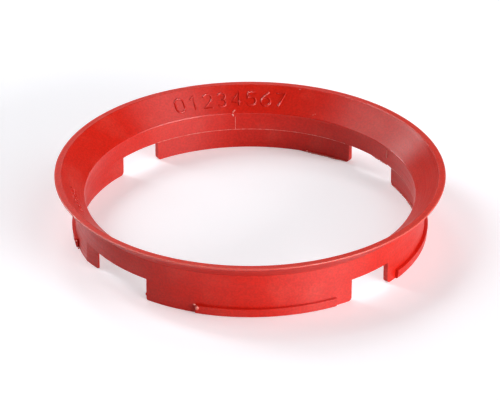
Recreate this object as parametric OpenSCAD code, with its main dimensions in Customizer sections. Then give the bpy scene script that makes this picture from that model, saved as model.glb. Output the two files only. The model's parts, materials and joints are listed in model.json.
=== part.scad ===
// Hub centric ring: one moulded ring that centres a wheel's wide bore on a narrower hub.
// It lies as in the photo, lip up and snap tabs down. Millimetres, +Z up, with the
// origin on the ring's axis, level with the bottom of the tabs. The photo looks along +Y.

/* [Fits] */
// Outside of the wall that sits in the wheel's centre bore, across
fit_d = 76.9; // [60:0.1:120]
// Thickness of that wall, from the wheel's bore in to the hub: it leaves a bore of 72.6
wall_t = 2.15; // [1.3:0.05:8]

/* [Heights] */
// Height of the snap tabs, up to the inner step and the tops of the notches
tab_h = 5.1; // [4:0.1:8]
// Length of the hub bore, from the step up to the foot of the flare
bore_l = 4.3; // [3:0.1:10]
// Rise of the flared lip above the bore
lip_h = 4.7; // [3:0.1:7]

/* [Lip] */
// How far the lip stands out past the fitting wall
lip_out = 4.4; // [3:0.1:6]
// Width of the flat top of the rim
rim_w = 1.5; // [1:0.05:2]
// Height of the rim's upright outer edge
rim_edge_h = 0.35; // [0.2:0.05:0.8]
// How far above the foot of the flare the underside of the lip starts
lip_root_h = 0.5; // [0.2:0.1:1.2]

/* [Snap tabs] */
// Thickness of the tabs, measured in from the fitting wall
tab_t = 1.15; // [0.8:0.05:1.25]
// Radius of the tabs' lower corners
corner_r = 0.9; // [0.3:0.1:1.8]
// Radius of the two lower corners at the wide notch at the front left
front_corner_r = 0.4; // [0.3:0.1:1.8]
// Angle from +X round to the middle of the first notch; the others follow at right angles
notch_turn = 42.2; // [20:0.1:65]
// Angle that the wide notch at the rear right takes out
rear_notch = 21.2; // [10:0.1:30]
// Angle that the wide notch at the front left takes out
front_notch = 25.6; // [10:0.1:30]
// Angle that each of the two narrow notches takes out
narrow_notch = 15.9; // [8:0.1:24]

/* [Snap beads] */
// How far the beads stand out past the fitting wall
bead_out = 0.8; // [0.4:0.05:1.5]
// Height of the beads' upper ledge
bead_h = 2.15; // [1.5:0.05:3.5]
// How far the beads' face leans in towards the bottom, to lead them into the wheel
bead_lean = 0.2; // [0:0.05:0.35]
// Radius of the beads' lower edge
bead_nose_r = 0.4; // [0.1:0.05:0.6]
// Angle that the bead on the front tab and on the rear tab covers
short_bead = 45.5; // [30:0.5:60]
// Angle that the bead on each side tab covers
long_bead = 49; // [30:0.5:60]
// How far the front and rear beads sit from their tab's middle, towards the narrow notch
short_bead_shift = 8.2; // [0:0.1:12]
// How far the side tabs' beads sit from their tab's middle, towards the narrow notch
long_bead_shift = 8.2; // [0:0.1:12]

/* [Eased edges] */
// Radius of the section's outer edges
edge_r = 0.2; // [0.05:0.05:0.3]
// Radius of the edge where the bore meets the flare
foot_r = 0.3; // [0.1:0.05:0.8]
// Radius in the corner under the lip
root_r = 0.4; // [0.1:0.1:1]

/* [Hidden] */
$fn = 96;
// Straight steps in each eased corner's arc
arc_steps = 4;
// How far a cutter reaches past what it cuts
past = 1;
// Share of a tab's corner radius at which its cutter's arc is set in from the tab's faces
tangency = 0.97;

fit_r = fit_d / 2;
bore_r = fit_r - wall_t;
tab_in_r = fit_r - tab_t;
lip_r = fit_r + lip_out;
rim_in_r = lip_r - rim_w;
bead_r = fit_r + bead_out;
foot_z = tab_h + bore_l;
root_z = foot_z + lip_root_h;
height = foot_z + lip_h;
step_r = min(edge_r, (tab_in_r - bore_r) / 2);
rim_edge_r = min(edge_r, rim_edge_h / 2);

// Notches and tabs follow each other at right angles
quarter = 90;
// Four notches, anticlockwise: [middle, angle taken out, radius of the corners beside it]
notches = [
    [notch_turn, rear_notch, corner_r],
    [notch_turn + quarter, narrow_notch, corner_r],
    [notch_turn + 2 * quarter, front_notch, front_corner_r],
    [notch_turn + 3 * quarter, narrow_notch, corner_r]
];
// Four beads, one on each tab, anticlockwise from the rear tab: [middle, angle covered]
rear_tab = notch_turn + quarter / 2;
beads = [
    [rear_tab + short_bead_shift, short_bead],
    [rear_tab + quarter - long_bead_shift, long_bead],
    [rear_tab + 2 * quarter + short_bead_shift, short_bead],
    [rear_tab + 3 * quarter - long_bead_shift, long_bead]
];

function unit(v) = v / norm(v);
function turn(a) = a > 180 ? a - 360 : a < -180 ? a + 360 : a;

// The corner b between neighbours a and c, each [x, y, radius], as points on its arc
function eased_corner(a, b, c) =
    let (
        here = [b.x, b.y],
        back = unit([a.x, a.y] - here),
        ahead = unit([c.x, c.y] - here),
        half = acos(back * ahead) / 2,
        centre = here + unit(back + ahead) * b.z / sin(half),
        from = here + back * b.z / tan(half) - centre,
        to = here + ahead * b.z / tan(half) - centre,
        first = atan2(from.y, from.x),
        sweep = turn(atan2(to.y, to.x) - first)
    )
    [for (i = [0 : arc_steps])
        centre + b.z * [cos(first + sweep * i / arc_steps), sin(first + sweep * i / arc_steps)]];

// An outline whose points carry the radius that eases each of them
function eased(p) =
    [for (i = [0 : len(p) - 1])
        each p[i].z == 0 ? [[p[i].x, p[i].y]]
            : eased_corner(p[(i + len(p) - 1) % len(p)], p[i], p[(i + 1) % len(p)])];

// Section of the ring: fitting wall, flared lip, hub bore, and the step down to the thin tabs
module wall_section() {
    polygon(eased([
        [tab_in_r, 0, edge_r],
        [fit_r, 0, edge_r],
        [fit_r, root_z, root_r],
        [lip_r, height - rim_edge_h, rim_edge_r],
        [lip_r, height, rim_edge_r],
        [rim_in_r, height, edge_r],
        [bore_r, foot_z, foot_r],
        [bore_r, tab_h, step_r],
        [tab_in_r, tab_h, step_r]
    ]));
}

// Section of a snap bead, rooted halfway into its tab, with a flat ledge on top
module bead_section() {
    polygon(eased([
        [fit_r - tab_t / 2, 0, 0],
        [bead_r - bead_lean, 0, bead_nose_r],
        [bead_r, bead_h, edge_r],
        [fit_r - tab_t / 2, bead_h, 0]
    ]));
}

// A stretch of a revolved section, centred on an angle
module stretch(middle, angle) {
    rotate([0, 0, middle - angle / 2])
        rotate_extrude(angle = angle)
            children();
}

// What rounds off one lower corner of a tab that starts at +X and runs anticlockwise.
// Its arc stops just short of tangent, so it leaves a clean edge with the tab's faces.
module corner_cut(radius) {
    reach = tab_t + bead_out + 2 * past;
    inset = radius * tangency;
    translate([tab_in_r - past, 0, 0])
        difference() {
            translate([0, -past, -past])
                cube([reach, inset + past, inset + past]);
            translate([-past, inset, inset])
                rotate([0, 90, 0])
                    cylinder(r = radius, h = reach + 2 * past);
        }
}

// One notch, cut up to the step, with the tabs' corners on both sides of it
module notch(middle, angle, radius) {
    stretch(middle, angle)
        translate([bore_r - past, -past])
            square([bead_r - bore_r + 2 * past, tab_h + past]);
    rotate([0, 0, middle + angle / 2])
        corner_cut(radius);
    rotate([0, 0, middle - angle / 2])
        mirror([0, 1, 0])
            corner_cut(radius);
}

module ring() {
    color("#cc2a1e")
        difference() {
            union() {
                rotate_extrude()
                    wall_section();
                for (b = beads)
                    stretch(b[0], b[1])
                        bead_section();
            }
            for (n = notches)
                notch(n[0], n[1], n[2]);
        }
}

ring();
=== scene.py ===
import json
import math
import random

import bmesh
import bpy
from mathutils import Matrix, Vector, noise


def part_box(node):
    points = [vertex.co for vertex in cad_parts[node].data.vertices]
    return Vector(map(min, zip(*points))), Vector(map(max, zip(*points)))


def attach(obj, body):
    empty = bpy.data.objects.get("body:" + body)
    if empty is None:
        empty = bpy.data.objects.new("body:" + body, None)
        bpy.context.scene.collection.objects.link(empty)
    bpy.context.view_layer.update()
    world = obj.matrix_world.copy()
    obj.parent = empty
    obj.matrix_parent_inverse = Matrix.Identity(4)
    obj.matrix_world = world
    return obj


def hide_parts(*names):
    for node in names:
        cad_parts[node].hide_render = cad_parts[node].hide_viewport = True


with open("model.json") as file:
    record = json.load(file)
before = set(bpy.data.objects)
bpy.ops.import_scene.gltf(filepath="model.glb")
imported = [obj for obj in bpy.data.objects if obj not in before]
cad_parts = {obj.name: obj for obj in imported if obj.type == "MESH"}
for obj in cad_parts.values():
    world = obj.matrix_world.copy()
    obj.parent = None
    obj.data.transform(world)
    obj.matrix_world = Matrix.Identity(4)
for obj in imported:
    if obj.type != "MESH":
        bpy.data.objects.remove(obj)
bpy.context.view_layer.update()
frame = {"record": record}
scene = bpy.context.scene
scene.view_settings.view_transform = "Standard"
mm = 0.001

# Camera: a long lens on a stand in front of the ring, a little above it and looking down.
# With its distance and lens, five of the ring's round edges fall where the photo has them.
image_width_px = 500
focal_length_px = 3500
sensor_width_mm = 36
camera_distance = 773.3 * mm
camera_rise = math.radians(29.553)
aim_above_origin = math.radians(0.439)

camera_data = bpy.data.cameras.new("camera")
camera_data.sensor_width = sensor_width_mm
camera_data.lens = sensor_width_mm * focal_length_px / image_width_px
camera = bpy.data.objects.new("camera", camera_data)
camera.location = (0, -camera_distance * math.cos(camera_rise), camera_distance * math.sin(camera_rise))
camera.rotation_euler = (math.radians(90) - camera_rise + aim_above_origin, 0, 0)
scene.collection.objects.link(camera)
scene.camera = camera

# Ring: one injection moulding, with a wall that fills the wheel's bore, a flared lip and four
# snap tabs with beads. It is drawn as a flat strip, section by section in millimetres, with the
# tabs drawn down and the beads drawn out, then bent round and joined end to end.
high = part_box("ring")[1]
radii = {m["name"]: m["dims"]["r_mm"] for m in frame["record"]["mounts"] if "r_mm" in m["dims"]}
bore_r = radii["hub_bore"]
fit_r = radii["wheel_seat"]
lip_r = high.x / mm
height = high.z / mm
tab_h = 5.1
tab_t = 1.15
foot_z = 9.4
root_z = 9.9
rim_edge_h = 0.35
rim_w = 1.5
rim_in_r = lip_r - rim_w
tab_in_r = fit_r - tab_t
tab_corner_r = 0.9
front_corner_r = 0.4
bead_out = 0.8
bead_r = fit_r + bead_out
bead_h = 2.15
bead_lean = 0.2
bead_nose_r = 0.4
root_r = 0.4
foot_r = 0.3
rim_edge_r = 0.17
small_r = 0.16
lean_length = 4.3
lean_share = 0.72
lean_fade = 0.5
quarter = 90
notch_middle = 42.2
notch_widths = [21.2, 15.9, 25.6, 15.9]
rear_tab = notch_middle + quarter / 2
short_bead = 45.5
long_bead = 49
bead_shift = 8.2
beads = [
    (rear_tab + bead_shift, short_bead),
    (rear_tab + quarter - bead_shift, long_bead),
    (rear_tab + 2 * quarter + bead_shift, short_bead),
    (rear_tab + 3 * quarter - bead_shift, long_bead),
]
step_deg = 1
sharp_deg = 40
near = 1e-3


def along(azimuth):
    """Place along the strip of an angle round the ring, counted from the first notch's middle."""
    return math.radians(azimuth - notch_middle) * fit_r


strip_end = along(notch_middle + 360)
tabs = []
for i, width in enumerate(notch_widths):
    notch = notch_middle + quarter * i
    next_width = notch_widths[(i + 1) % 4]
    tabs.append((along(notch + width / 2), along(notch + quarter - next_width / 2)))
bead_spans = [(along(middle - angle / 2), along(middle + angle / 2)) for middle, angle in beads]

strip = bmesh.new()
section = [
    (bore_r, tab_h),
    (fit_r, tab_h),
    (fit_r, root_z),
    (lip_r, height - rim_edge_h),
    (lip_r, height),
    (rim_in_r, height),
    (bore_r, foot_z),
]
outline = strip.faces.new([strip.verts.new((0, radius, z)) for radius, z in section])
drawn = bmesh.ops.extrude_face_region(strip, geom=[outline])["geom"]
drawn_verts = [g for g in drawn if isinstance(g, bmesh.types.BMVert)]
bmesh.ops.translate(strip, verts=drawn_verts, vec=(strip_end, 0, 0))
bmesh.ops.recalc_face_normals(strip, faces=strip.faces)


def cut(faces, place, normal):
    """Cuts those faces of the strip along a plane."""
    edges = {e for f in faces for e in f.edges}
    verts = {v for f in faces for v in f.verts}
    geom = list(faces) + list(edges) + list(verts)
    bmesh.ops.bisect_plane(strip, geom=geom, dist=near / 10, plane_co=place, plane_no=normal)


def draw(faces, offset):
    """Draws those faces of the strip out as one block and returns its moved corners."""
    moved = bmesh.ops.extrude_face_region(strip, geom=faces)["geom"]
    corners = [g for g in moved if isinstance(g, bmesh.types.BMVert)]
    bmesh.ops.translate(strip, verts=corners, vec=offset)
    bmesh.ops.delete(strip, geom=faces, context="FACES")
    strip.normal_update()
    return corners


def facing(normal, spans, test):
    """The strip's faces that look that way, lie in one of the spans and pass a test on their middle."""
    way = Vector(normal)
    found = []
    for f in strip.faces:
        middle = f.calc_center_median()
        inside = any(start < middle.x < end for start, end in spans)
        if inside and f.normal.dot(way) > 0.9 and test(middle):
            found.append(f)
    return found


for start, end in tabs + bead_spans:
    cut(strip.faces[:], (start, 0, 0), (1, 0, 0))
    cut(strip.faces[:], (end, 0, 0), (1, 0, 0))
strip.normal_update()
cut(facing((0, 0, -1), tabs, lambda p: p.z < root_z), (0, tab_in_r, 0), (0, 1, 0))
draw(facing((0, 0, -1), tabs, lambda p: p.z < root_z and p.y > tab_in_r), (0, 0, -tab_h))
cut(facing((0, 1, 0), bead_spans, lambda p: p.z < tab_h), (0, 0, bead_h), (0, 0, 1))
corners = draw(facing((0, 1, 0), bead_spans, lambda p: p.z < bead_h), (0, bead_out, 0))
bead_feet = [v for v in corners if v.co.z < near]
bmesh.ops.translate(strip, verts=bead_feet, vec=(0, -bead_lean, 0))

# The left tab's front end tapers on the outside.
lean_end = tabs[1][1]
lean_start = lean_end - lean_length
cut(strip.faces[:], (lean_start, 0, 0), (1, 0, 0))
strip.normal_update()
for z in (tab_h, tab_h - lean_fade):
    cut(facing((0, 1, 0), [(lean_start, lean_end)], lambda p: p.z < root_z), (0, 0, z), (0, 0, 1))
for v in strip.verts:
    inside = lean_start < v.co.x < lean_end + near
    if inside and v.co.z < tab_h - lean_fade / 2 and v.co.y > tab_in_r:
        share = lean_share * (v.co.x - lean_start) / lean_length
        v.co.y -= share * (v.co.y - tab_in_r)


def ease(edges, radius, segments):
    """Rounds edges of the strip that all meet at one angle, to that radius."""
    angle = edges[0].calc_face_angle()
    offset = radius * math.tan(angle / 2)
    bmesh.ops.bevel(
        strip, geom=edges, offset=offset, offset_type="OFFSET", segments=segments,
        profile=0.5, affect="EDGES", clamp_overlap=False, material=-1,
    )


def edges_at(test):
    """The strip's edges whose two ends both pass a test, apart from those round its two ends."""
    found = []
    for e in strip.edges:
        a, b = (v.co for v in e.verts)
        at_end = abs(a.x - b.x) < near and (a.x < near or a.x > strip_end - near)
        if not at_end and test(a) and test(b):
            found.append(e)
    return found


def long_edges(radius, z):
    """The strip's edges that run along it at that radius and height."""
    return edges_at(lambda p: abs(p.y - radius) < near and abs(p.z - z) < near)


def tab_corners(ends):
    """The lower edges across the tabs' ends at those places along the strip."""
    found = []
    for e in edges_at(lambda p: p.z < near):
        a, b = (v.co for v in e.verts)
        if abs(a.x - b.x) < near and any(abs(a.x - end) < near for end in ends):
            found.append(e)
    return found


front_ends = [tabs[1][1], tabs[2][0]]
other_ends = [x for span in tabs for x in span if x not in front_ends]
ease(tab_corners(front_ends), front_corner_r, 4)
ease(tab_corners(other_ends), tab_corner_r, 6)
ease(long_edges(bead_r - bead_lean, 0), bead_nose_r, 4)
ease(long_edges(fit_r, root_z), root_r, 4)
ease(long_edges(lip_r, height - rim_edge_h), rim_edge_r, 3)
ease(long_edges(lip_r, height), rim_edge_r, 4)
ease(long_edges(rim_in_r, height), small_r, 3)
ease(long_edges(bore_r, foot_z), foot_r, 4)
ease(long_edges(bore_r, tab_h), small_r, 3)
ease(long_edges(tab_in_r, 0), small_r, 2)
ease(long_edges(bead_r, bead_h), small_r, 2)

# The strip's two end faces go, and it is cut into short lengths, bent round and joined.
end_caps = []
for f in strip.faces:
    x_places = {round(v.co.x, 2) for v in f.verts}
    first_x = f.verts[0].co.x
    at_either_end = first_x < near or first_x > strip_end - near
    if abs(f.normal.x) > 0.99 and len(x_places) == 1 and at_either_end:
        end_caps.append(f)
bmesh.ops.delete(strip, geom=end_caps, context="FACES_ONLY")
for degree in range(step_deg, 360, step_deg):
    cut(strip.faces[:], (along(notch_middle + degree), 0, 0), (1, 0, 0))
for v in strip.verts:
    azimuth = math.radians(notch_middle) + v.co.x / fit_r
    v.co = Vector((v.co.y * math.cos(azimuth), v.co.y * math.sin(azimuth), v.co.z)) * mm
bmesh.ops.remove_doubles(strip, verts=strip.verts, dist=near * mm)
bmesh.ops.recalc_face_normals(strip, faces=strip.faces)

# The flat top of the rim and the eased edges of the lip have materials of their own: the top a matt
# one, painted brighter as painted light from above, and the edges a glossier one. They are told
# apart by their tilt, in degrees up from facing straight out.
matt_lit_rim_top = 1
edge_finish = 2
flat_top = (89, 91)
rim_inner_edge = (91, 132)
flare_foot_edge = (134.5, 179)
lip_outer_edges = (-42, 89)
lip_edge_w = 0.3
lip_edge_h = 0.55
finishes_from_z = foot_z - 0.5

for f in strip.faces:
    middle = f.calc_center_median() / mm
    if middle.z < finishes_from_z:
        continue
    outwards = Vector((middle.x, middle.y, 0)).normalized()
    tilt = math.degrees(math.atan2(f.normal.z, f.normal.dot(outwards)))
    eased = [rim_inner_edge, flare_foot_edge]
    if middle.xy.length > lip_r - lip_edge_w and middle.z > height - lip_edge_h:
        eased.append(lip_outer_edges)
    if flat_top[0] < tilt < flat_top[1]:
        f.material_index = matt_lit_rim_top
    elif any(least < tilt < most for least, most in eased):
        f.material_index = edge_finish

ring_mesh = bpy.data.meshes.new("ring_moulding")
strip.to_mesh(ring_mesh)
strip.free()
ring_mesh.shade_smooth()
ring_mesh.set_sharp_from_angle(angle=math.radians(sharp_deg))
ring = bpy.data.objects.new("ring_moulding", ring_mesh)
scene.collection.objects.link(ring)
weighted = ring.modifiers.new("even_shading", "WEIGHTED_NORMAL")
weighted.keep_sharp = True

# Satin moulded plastic, coloured through with a warm red pigment. The mould was turned, so faint
# rings run round the part and stretch its gloss across them, and a fine grain and paler patches
# lie over them. Rings and grain are drawn coarser than the real ones, so that they show. A pale
# band painted all round the lip's outer top edge is a painted highlight.
plastic_red = "#d12214"
pale_red = "#e8685a"
turned_ring_width = 0.5 * mm
turned_ring_length = 30 * mm
turned_ring_depth = 0.004 * mm
grain_size = 0.45 * mm
grain_depth = 0.009 * mm
grain_tone_low = 0.89
grain_tone_high = 1.09
patch_size = 7 * mm
patch_paleness = 0.25
# Painted highlight: a pale band all round the lip's outer top edge.
edge_highlight_paleness = 0.75
edge_highlight_from = (lip_r + height - 0.32) * mm
edge_highlight_full = (lip_r + height - 0.1) * mm
roughness_low = 0.33
roughness_high = 0.51


def colour(hex_value):
    """An sRGB hex colour as the linear colour that a shader takes."""
    channels = [int(hex_value[i:i + 2], 16) / 255 for i in (1, 3, 5)]
    return [c / 12.92 if c < 0.04045 else ((c + 0.055) / 1.055) ** 2.4 for c in channels] + [1]


def add(material, kind, inputs=None, **settings):
    """Adds a node to a material, with its settings, and its inputs as values or linked sockets."""
    node = material.node_tree.nodes.new(kind)
    for name, value in settings.items():
        setattr(node, name, value)
    for name, value in (inputs or {}).items():
        socket = node.inputs[name]
        if isinstance(value, bpy.types.NodeSocket):
            material.node_tree.links.new(value, socket)
        else:
            socket.default_value = value
    return node


plastic = bpy.data.materials.new("satin_red_plastic")
plastic.use_nodes = True
plastic.node_tree.nodes.clear()
place = add(plastic, "ShaderNodeTexCoord")
parts = add(plastic, "ShaderNodeSeparateXYZ", {"Vector": place.outputs["Object"]})
flat = add(plastic, "ShaderNodeCombineXYZ", {"X": parts.outputs["X"], "Y": parts.outputs["Y"]})
from_axis = add(plastic, "ShaderNodeVectorMath", {0: flat.outputs[0]}, operation="LENGTH")
up_section = add(plastic, "ShaderNodeMath", {
    0: from_axis.outputs["Value"], 1: parts.outputs["Z"],
}, operation="ADD")
across = add(plastic, "ShaderNodeMath", {
    0: up_section.outputs[0], 1: turned_ring_length / turned_ring_width,
}, operation="MULTIPLY")
round_part = add(plastic, "ShaderNodeCombineXYZ", {
    "X": parts.outputs["X"], "Y": parts.outputs["Y"], "Z": across.outputs[0],
})
rings = add(plastic, "ShaderNodeTexNoise", {
    "Vector": round_part.outputs[0], "Scale": 1 / turned_ring_length, "Detail": 3.0, "Roughness": 0.6,
})
grain = add(plastic, "ShaderNodeTexNoise", {
    "Vector": place.outputs["Object"], "Scale": 1 / grain_size, "Detail": 2.0,
})
patches = add(plastic, "ShaderNodeTexNoise", {
    "Vector": place.outputs["Object"], "Scale": 1 / patch_size, "Detail": 3.0,
})
ring_bump = add(plastic, "ShaderNodeBump", {
    "Height": rings.outputs[0], "Distance": turned_ring_depth, "Strength": 1.0,
})
grain_bump = add(plastic, "ShaderNodeBump", {
    "Height": grain.outputs[0], "Distance": grain_depth, "Strength": 1.0,
    "Normal": ring_bump.outputs[0],
})
patch_amount = add(plastic, "ShaderNodeMapRange", {
    "Value": patches.outputs[0], "From Min": 0.5, "From Max": 0.9,
    "To Min": 0.0, "To Max": patch_paleness,
})
# Painted highlight: the colour turns paler towards the lip's outer top edge, measured by distance out
# plus height.
edge_highlight_amount = add(plastic, "ShaderNodeMapRange", {
    "Value": up_section.outputs[0], "From Min": edge_highlight_from, "From Max": edge_highlight_full,
    "To Min": 0.0, "To Max": edge_highlight_paleness,
})
paleness = add(plastic, "ShaderNodeMath", {
    0: patch_amount.outputs[0], 1: edge_highlight_amount.outputs[0],
}, operation="MAXIMUM")
plastic_colour = add(plastic, "ShaderNodeMix", {
    "Factor": paleness.outputs[0], 6: colour(plastic_red), 7: colour(pale_red),
}, data_type="RGBA")
grain_tone = add(plastic, "ShaderNodeMapRange", {
    "Value": grain.outputs[0], "From Min": 0.35, "From Max": 0.65,
    "To Min": grain_tone_low, "To Max": grain_tone_high,
})
speckled = add(plastic, "ShaderNodeHueSaturation", {
    "Value": grain_tone.outputs[0], "Color": plastic_colour.outputs[2],
})
roughness = add(plastic, "ShaderNodeMapRange", {
    "Value": rings.outputs[0], "From Min": 0.3, "From Max": 0.7,
    "To Min": roughness_low, "To Max": roughness_high,
})
round_axis = add(plastic, "ShaderNodeTangent", direction_type="RADIAL", axis="Z")
shader = add(plastic, "ShaderNodeBsdfPrincipled", {
    "Base Color": speckled.outputs[0], "Roughness": roughness.outputs[0], "IOR": 1.5,
    "Specular IOR Level": 0.44, "Anisotropic": 0.9, "Anisotropic Rotation": 0.25,
    "Tangent": round_axis.outputs[0],
    "Subsurface Weight": 0.12, "Subsurface Radius": (1.0, 0.1, 0.05), "Subsurface Scale": 0.8 * mm,
    "Normal": grain_bump.outputs[0],
})
add(plastic, "ShaderNodeOutputMaterial", {"Surface": shader.outputs["BSDF"]})
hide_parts("ring")
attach(ring, "root")

# Matt top plastic: the mould's flat ground face made the rim's top, which is evenly matt. Its red is
# painted a little brighter than the rest, as painted light from above.
# Painted light from above: the rim top's red is brighter than the plastic's own.
lit_top_red = "#da2918"


def node_of(material, kind):
    """The one node of that type in a material."""
    return next(n for n in material.node_tree.nodes if n.type == kind)


matt_lit_top = plastic.copy()
matt_lit_top.name = "matt_lit_top_red_plastic"
matt_lit_top_shader = node_of(matt_lit_top, "BSDF_PRINCIPLED")
matt_lit_top.node_tree.links.remove(matt_lit_top_shader.inputs["Tangent"].links[0])
matt_lit_top_shader.inputs["Anisotropic"].default_value = 0.0
matt_lit_top_shader.inputs["Specular IOR Level"].default_value = 0.22
node_of(matt_lit_top, "MIX").inputs[6].default_value = colour(lit_top_red)

# Burnished plastic: the lip's edges and the foot of the flare were rubbed smooth, and the tool that
# cut the numbers left their strokes smoother than the turned surface, so all are glossier and
# have no brushed look.
burnished_roughness = 0.22

burnished = plastic.copy()
burnished.name = "burnished_red_plastic"
burnished_shader = node_of(burnished, "BSDF_PRINCIPLED")
for name in ("Tangent", "Roughness"):
    burnished.node_tree.links.remove(burnished_shader.inputs[name].links[0])
burnished_shader.inputs["Roughness"].default_value = burnished_roughness
burnished_shader.inputs["Anisotropic"].default_value = 0.0
burnished_shader.inputs["Specular IOR Level"].default_value = 0.8
for finish in (plastic, matt_lit_top, burnished):
    ring_mesh.materials.append(finish)

# Whitened plastic: where the red was strained or left as a thin skin it turns pale pink, with
# red showing through in patches. The gate's stub, the flash and the scuffs are all of it.
whitened_pale = "#f0a096"
whitened_red = "#dc5546"
cloud_size = 0.8 * mm
skin_depth = 0.02 * mm

whitened = bpy.data.materials.new("stress_whitened_red_plastic")
whitened.use_nodes = True
whitened.node_tree.nodes.clear()
place = add(whitened, "ShaderNodeTexCoord")
clouds = add(whitened, "ShaderNodeTexNoise", {
    "Vector": place.outputs["Object"], "Scale": 1 / cloud_size, "Detail": 3.0,
})
cloud_amount = add(whitened, "ShaderNodeMapRange", {
    "Value": clouds.outputs[0], "From Min": 0.35, "From Max": 0.65,
})
mixed = add(whitened, "ShaderNodeMix", {
    "Factor": cloud_amount.outputs[0], 6: colour(whitened_red), 7: colour(whitened_pale),
}, data_type="RGBA")
skin = add(whitened, "ShaderNodeBump", {
    "Height": clouds.outputs[0], "Distance": skin_depth, "Strength": 1.0,
})
pale_shader = add(whitened, "ShaderNodeBsdfPrincipled", {
    "Base Color": mixed.outputs[2], "Roughness": 0.4, "IOR": 1.5, "Subsurface Weight": 0.3,
    "Subsurface Radius": (1.0, 0.3, 0.25), "Subsurface Scale": 0.4 * mm, "Normal": skin.outputs[0],
})
add(whitened, "ShaderNodeOutputMaterial", {"Surface": pale_shader.outputs["BSDF"]})

# Raised numbers: a row of plain dial numbers, 0 to 7, along the back of the flare. A ball-nosed
# tool cut them into the mould, so each stroke stands up from the plastic as half a round bead.
digit_wide = 2.1
digit_pitch = 4.95
digit_foot = 1.75
first_digit_at = 114.3
stroke_r = 0.25


def arc(x, y, radius, start, end):
    """Points along an arc of a digit's stroke, in millimetres and degrees."""
    steps = 12
    turns = [math.radians(start + (end - start) * i / steps) for i in range(steps + 1)]
    return [(x + radius * math.cos(t), y + radius * math.sin(t)) for t in turns]


digits = {
    "0": [arc(1.05, 2.25, 1.05, 0, 180) + arc(1.05, 1.05, 1.05, 180, 360) + [(2.1, 2.25)]],
    "1": [[(0.35, 2.5), (1.2, 3.3), (1.2, 0)]],
    "2": [arc(1.05, 2.3, 1.0, 165, -42) + [(0, 0), (2.1, 0)]],
    "3": [arc(1.0, 2.48, 0.82, 160, -90) + arc(1.0, 0.87, 0.87, 90, -160)],
    "4": [[(1.6, 0), (1.6, 3.3), (0, 0.95), (2.1, 0.95)]],
    "5": [[(1.9, 3.3), (0.35, 3.3), (0.15, 1.75)] + arc(1.0, 1.1, 1.1, 130, -150)],
    "6": [[(1.75, 3.25), (1.0, 2.65)] + arc(1.05, 1.05, 1.05, 150, 510)],
    "7": [[(0, 3.3), (2.1, 3.3), (0.75, 0)]],
}


def at(radius, azimuth, z):
    """A point of the ring, from millimetres and degrees."""
    turn = math.radians(azimuth)
    return Vector((radius * math.cos(turn), radius * math.sin(turn), z)) * mm


def on_flare(azimuth, right, up):
    """A point on the flare's inner face: that far to the right of an azimuth and up from its foot."""
    slant = math.hypot(rim_in_r - bore_r, height - foot_z)
    radius = bore_r + (rim_in_r - bore_r) * up / slant
    z = foot_z + (height - foot_z) * up / slant
    return at(radius, azimuth - math.degrees(right / radius), z)


def stand(name, mesh, material):
    """Puts a finished mesh on the moulding, as a piece of the given finish."""
    mesh.materials.clear()
    mesh.materials.append(material)
    piece = bpy.data.objects.new(name, mesh)
    scene.collection.objects.link(piece)
    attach(piece, "root")


def strokes(name, lines, radius, material):
    """A piece of round strokes along lines of points, as they stand on the moulding."""
    curve = bpy.data.curves.new(name, "CURVE")
    curve.dimensions = "3D"
    curve.bevel_depth = radius * mm
    curve.bevel_resolution = 2
    curve.use_fill_caps = True
    for line in lines:
        spline = curve.splines.new("POLY")
        spline.points.add(len(line) - 1)
        for point, corner in zip(spline.points, line):
            point.co = (*corner, 1)
    drawn_curve = bpy.data.objects.new(name, curve)
    mesh = bpy.data.meshes.new_from_object(drawn_curve)
    bpy.data.objects.remove(drawn_curve)
    mesh.shade_smooth()
    stand(name, mesh, material)


def number_row(first_at, pitch, foot, shift, scale):
    """The strokes of a row of numbers on the flare, which starts at an angle and runs rightwards."""
    lines = []
    for i, digit_lines in enumerate(digits.values()):
        azimuth = first_at - pitch * i
        for line in digit_lines:
            places = [(x * scale + shift, y * scale + foot) for x, y in line]
            lines.append([on_flare(azimuth, right, up) for right, up in places])
    return lines


number_lines = number_row(first_digit_at, digit_pitch, digit_foot, -digit_wide / 2, 1)
strokes("raised_numbers", number_lines, stroke_r, burnished)

# Small numbers: a second, much smaller row of the same plain numbers on the flare at the left.
# It is raised in the same way, with its feet towards the bore.
small_scale = 0.4
small_pitch = 2.0
small_foot = 2.7
small_first_at = -159.5
small_stroke_r = 0.11

small_lines = number_row(small_first_at, small_pitch, small_foot, 0, small_scale)
strokes("small_numbers", small_lines, small_stroke_r, burnished)

# Mould marks: a fine parting seam at the back of the bore with a split pip on the flare's foot, a
# short raised line at the right, and the hair line that the mould's two halves left along the step
# over the tabs. The seam, pip and short line were strained pale as the part left the mould; the
# hair line is a raised stroke drawn pale as a painted highlight along the step's edge.
seam_at = 95.3
seam_r = 0.05
seam_pip_r = 0.17
bore_line_r = 0.13
step_highlight_r = 0.06
step_highlight_spans = [(125.5, 53.5), (30.5, -33)]


def sweep(first, last, count):
    """Evenly spaced numbers from first to last."""
    return [first + (last - first) * i / (count - 1) for i in range(count)]


seam = [at(bore_r, seam_at, z) for z in sweep(5.3, 8.5, 9)]
seam_pip = [
    [at(bore_r + 0.55, seam_at + 0.1, foot_z + 0.5), at(bore_r + 0.1, seam_at + 1.0, foot_z + 0.15)],
    [at(bore_r + 0.02, seam_at + 1.1, foot_z - 0.2), at(bore_r, seam_at + 0.7, foot_z - 0.75)],
]
bore_line = [at(bore_r, 32.1, 6.9), at(bore_r, 32.0, 8.0), at(bore_r, 31.9, 8.9)]
step_highlight_lines = [
    [at(bore_r + 0.02, azimuth, tab_h + 0.1) for azimuth in sweep(first, last, 61)]
    for first, last in step_highlight_spans
]
strokes("mould_seam", [seam], seam_r, whitened)
strokes("seam_pip", seam_pip, seam_pip_r, whitened)
strokes("bore_line", [bore_line], bore_line_r, whitened)
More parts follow.
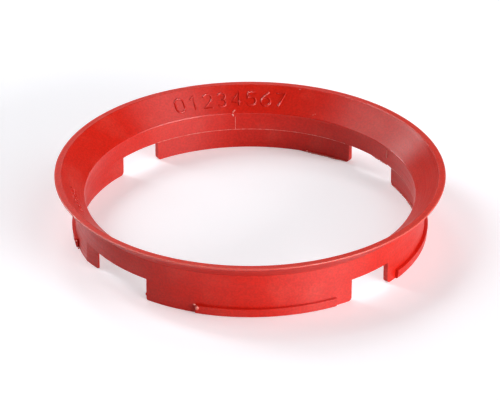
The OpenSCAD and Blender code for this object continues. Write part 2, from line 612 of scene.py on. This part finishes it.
# Painted highlight: the step's hair line is drawn in the pale plastic to stand for the light its edge
# catches.
strokes("step_highlight_line", step_highlight_lines, step_highlight_r, whitened)

# Gate stub, snags, pips and scuffs: small torn lumps where the moulding was broken from its
# runner, at the left end of the front bead, where other edges were snagged or rubbed, and where
# a bubble in the plastic left a pip.
lump_unevenness = 0.35
lump_waves = 1.7
lip_scuff_r = lip_r - 0.06


def lumps(name, spots, material):
    """A piece of small torn lumps, each at a radius, azimuth and height, with its three half sizes."""
    shape = bmesh.new()
    for radius, azimuth, z, wide, deep, tall in spots:
        made = bmesh.ops.create_icosphere(shape, subdivisions=2, radius=1)["verts"]
        turn = Matrix.Rotation(math.radians(azimuth), 3, "Z")
        own = Vector((azimuth, z, radius))
        for v in made:
            rough = 1 + lump_unevenness * noise.noise(v.co * lump_waves + own)
            sized = Vector((v.co.x * deep, v.co.y * wide, v.co.z * tall))
            v.co = at(radius, azimuth, z) + turn @ sized * rough * mm
    mesh = bpy.data.meshes.new(name)
    shape.to_mesh(mesh)
    shape.free()
    mesh.shade_smooth()
    stand(name, mesh, material)


lumps("gate_stub", [
    (39.3, -106.6, 1.65, 0.42, 0.2, 0.55),
    (39.2, -107.5, 2.35, 0.28, 0.2, 0.13),
], whitened)
lumps("bead_snag", [
    (39.3, -166.6, 2.1, 0.22, 0.24, 0.2),
    (39.0, -165.0, 1.3, 0.16, 0.2, 0.3),
    (38.9, -164.2, 0.6, 0.16, 0.16, 0.2),
], plastic)
lumps("pale_pips", [
    (39.1, -165.6, 2.0, 0.22, 0.16, 0.2),
    (36.95, 67.1, 10.0, 0.14, 0.07, 0.14),
    (37.15, 66.4, 10.2, 0.14, 0.07, 0.14),
    (36.95, 69.3, 0.36, 0.2, 0.42, 0.24),
], whitened)
lumps("flare_pips", [
    (36.5, 139.4, 9.5, 0.2, 0.1, 0.14),
    (36.5, 129.4, 9.5, 0.16, 0.1, 0.12),
    (38.46, -130.4, 7.1, 0.16, 0.06, 0.32),
    (38.4, -125.2, 1.4, 0.1, 0.1, 0.4),
], plastic)
lumps("lip_scuffs", [
    (41.0, 73.8, 13.78, 0.3, 0.07, 0.05),
    (lip_scuff_r, -139.2, 14.0, 0.3, 0.05, 0.05),
    (lip_scuff_r, -100.4, 14.0, 0.4, 0.05, 0.05),
    (lip_scuff_r, -76.2, 14.0, 0.35, 0.05, 0.04),
    (lip_scuff_r, -72.5, 14.0, 0.5, 0.05, 0.04),
    (lip_scuff_r, -69.6, 14.0, 0.3, 0.05, 0.04),
], whitened)

# Flash: the thin ragged skin that the mould's parting left along the feet of the rear and the
# right tab, and along the top of the notch between them. It is a twentieth of a millimetre thick.
film_t = 0.05 * mm
film_root = 0.05 * mm
film_end_share = 0.3
foot_film_z = 0.14
foot_film_rise = 0.04


def film(name, edge, way, reach, ragged, seed):
    """A piece of ragged film that grows from an edge, each point of it in its own direction."""
    chance = random.Random(seed)
    shape = bmesh.new()
    rows = []
    for i, (start, towards) in enumerate(zip(edge, way)):
        from_end = min(1, 4 * i / len(edge), 4 * (len(edge) - 1 - i) / len(edge))
        taper = from_end * (1 - film_end_share) + film_end_share
        length = reach * taper * (1 + ragged * chance.uniform(-1, 1)) * mm
        tip = start + towards * length
        rows.append([shape.verts.new(start - towards * film_root), shape.verts.new(tip)])
    for a, b in zip(rows, rows[1:]):
        shape.faces.new([a[0], b[0], b[1], a[1]])
    bmesh.ops.recalc_face_normals(shape, faces=shape.faces)
    bmesh.ops.solidify(shape, geom=shape.faces[:], thickness=film_t)
    mesh = bpy.data.meshes.new(name)
    shape.to_mesh(mesh)
    shape.free()
    stand(name, mesh, whitened)


def foot_film(name, azimuths, reach, ragged, seed):
    """Film along a tab's foot, which spreads inwards and a little upwards, just above the table."""
    edge = [at(tab_in_r, a, foot_film_z) for a in azimuths]
    rise = Vector((0, 0, foot_film_rise))
    way = [at(-1 / mm, a, 0) + rise for a in azimuths]
    film(name, edge, way, reach, ragged, seed)


foot_film("rear_tab_flash", sweep(71.5, 53.5, 44), reach=0.6, ragged=0.3, seed=3)
foot_film("right_tab_flash", sweep(31.0, 4.0, 60), reach=0.35, ragged=0.25, seed=5)
notch_top = [at(bore_r + 0.1, a, tab_h) for a in sweep(40.5, 32.2, 34)]
downwards = [Vector((0, 0, -1))] * len(notch_top)
film("notch_flash", notch_top, downwards, reach=0.22, ragged=0.9, seed=8)

# Table top: a plain white board that runs out of view on all sides. It catches the ring's soft
# shadows and the red that the ring throws on it. Seen directly, in gloss or through something, it
# is lifted to the clean white of a studio photo.
board_radius = 3.0
seen_white = "#f2f2f7"
bounced_white = "#e6e6e6"
board_lift = 0.3

board = bmesh.new()
bmesh.ops.create_circle(board, cap_ends=True, segments=64, radius=board_radius)
floor_mesh = bpy.data.meshes.new("table_top")
board.to_mesh(floor_mesh)
board.free()
floor = bpy.data.objects.new("table_top", floor_mesh)
scene.collection.objects.link(floor)
paint = bpy.data.materials.new("white_board")
paint.use_nodes = True
paint.node_tree.nodes.clear()
shaded = add(paint, "ShaderNodeBsdfDiffuse", {"Color": colour(seen_white)})
plain = add(paint, "ShaderNodeBsdfDiffuse", {"Color": colour(bounced_white)})
lift = add(paint, "ShaderNodeEmission", {"Color": (1, 1, 1, 1), "Strength": board_lift})
seen = add(paint, "ShaderNodeAddShader", {0: shaded.outputs[0], 1: lift.outputs[0]})
path = add(paint, "ShaderNodeLightPath")
camera_or_gloss = add(paint, "ShaderNodeMath", {
    0: path.outputs["Is Camera Ray"], 1: path.outputs["Is Glossy Ray"],
}, operation="MAXIMUM")
seen_rays = add(paint, "ShaderNodeMath", {
    0: camera_or_gloss.outputs[0], 1: path.outputs["Is Transmission Ray"],
}, operation="MAXIMUM")
surface = add(paint, "ShaderNodeMixShader", {
    "Fac": seen_rays.outputs[0], 1: plain.outputs[0], 2: seen.outputs[0],
})
add(paint, "ShaderNodeOutputMaterial", {"Surface": surface.outputs[0]})
floor_mesh.materials.append(paint)

# Studio light: a plain pale surround, and soft boxes that stand a metre off and face the ring. The
# strong ones are low at the front right, and a tall strip at the back left washes the flare.
surround_strength = 0.01
lamp_distance = 1

world = bpy.data.worlds.new("surround")
scene.world = world
world.use_nodes = True
surround = world.node_tree.nodes["Background"]
surround.inputs["Color"].default_value = (1, 1, 1, 1)
surround.inputs["Strength"].default_value = surround_strength


def soft_box(name, azimuth, rise, width, tall, power):
    """A soft box at that angle round the ring and above the table, in degrees, metres and watts."""
    turn, lift_angle = math.radians(azimuth), math.radians(rise)
    data = bpy.data.lights.new(name, "AREA")
    data.shape = "RECTANGLE"
    data.size = width
    data.size_y = tall
    data.energy = power
    lamp = bpy.data.objects.new(name, data)
    lamp.location = (
        lamp_distance * math.cos(lift_angle) * math.cos(turn),
        lamp_distance * math.cos(lift_angle) * math.sin(turn),
        lamp_distance * math.sin(lift_angle),
    )
    lamp.rotation_euler = lamp.location.to_track_quat("Z", "Y").to_euler()
    scene.collection.objects.link(lamp)


soft_box("key", -42, 16, 0.5, 0.19, 4.2)
soft_box("key_low", -42, 11, 1.13, 0.39, 7.1)
soft_box("right_top", -20, 48, 0.49, 0.83, 2.4)
soft_box("left_strip", 147, 33, 0.18, 1.2, 6.3)
soft_box("left_top", 175, 48, 0.3, 0.44, 1.1)
soft_box("back", 103, 45, 0.25, 0.32, 1.3)
soft_box("back_low", 95, 24, 0.5, 0.25, 0.5)
